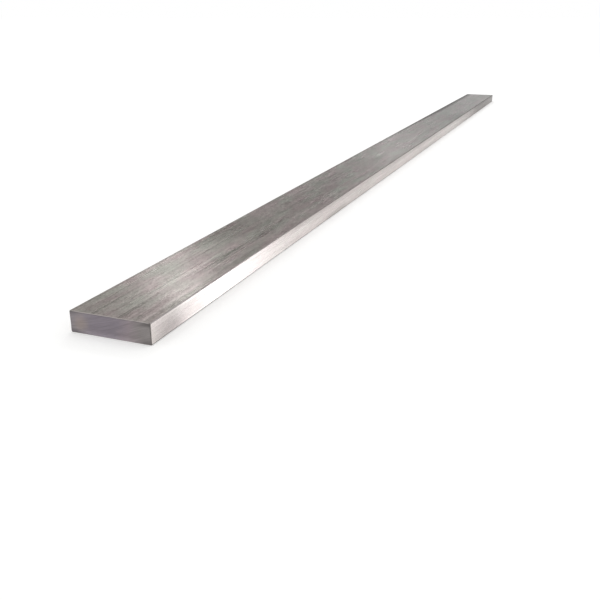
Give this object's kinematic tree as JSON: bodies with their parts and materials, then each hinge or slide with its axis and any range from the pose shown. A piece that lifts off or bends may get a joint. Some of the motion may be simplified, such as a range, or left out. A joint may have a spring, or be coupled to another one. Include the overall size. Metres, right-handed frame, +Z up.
{
  "type": "steel flat bar",
  "caption": "Solid steel flat bar: long rectangular stock with lightly rounded long edges and square-sawn ends, to be cut, drilled, bolted or welded into frames and brackets.",
  "frame": {"origin": "middle of the underside: halfway along the length and across the width, on the wide face that the bar lies on", "axes": "+X across the width, +Y along the length, from the near end to the far end, and +Z up through the thickness"},
  "size_m": [0.04, 1, 0.01],
  "materials": {
    "bright_steel": "bright, with a fine grain drawn along the length and sawn ends"
  },
  "bodies": {
    "root": {"flat_bar": "bright_steel"}
  },
  "joints": []
}
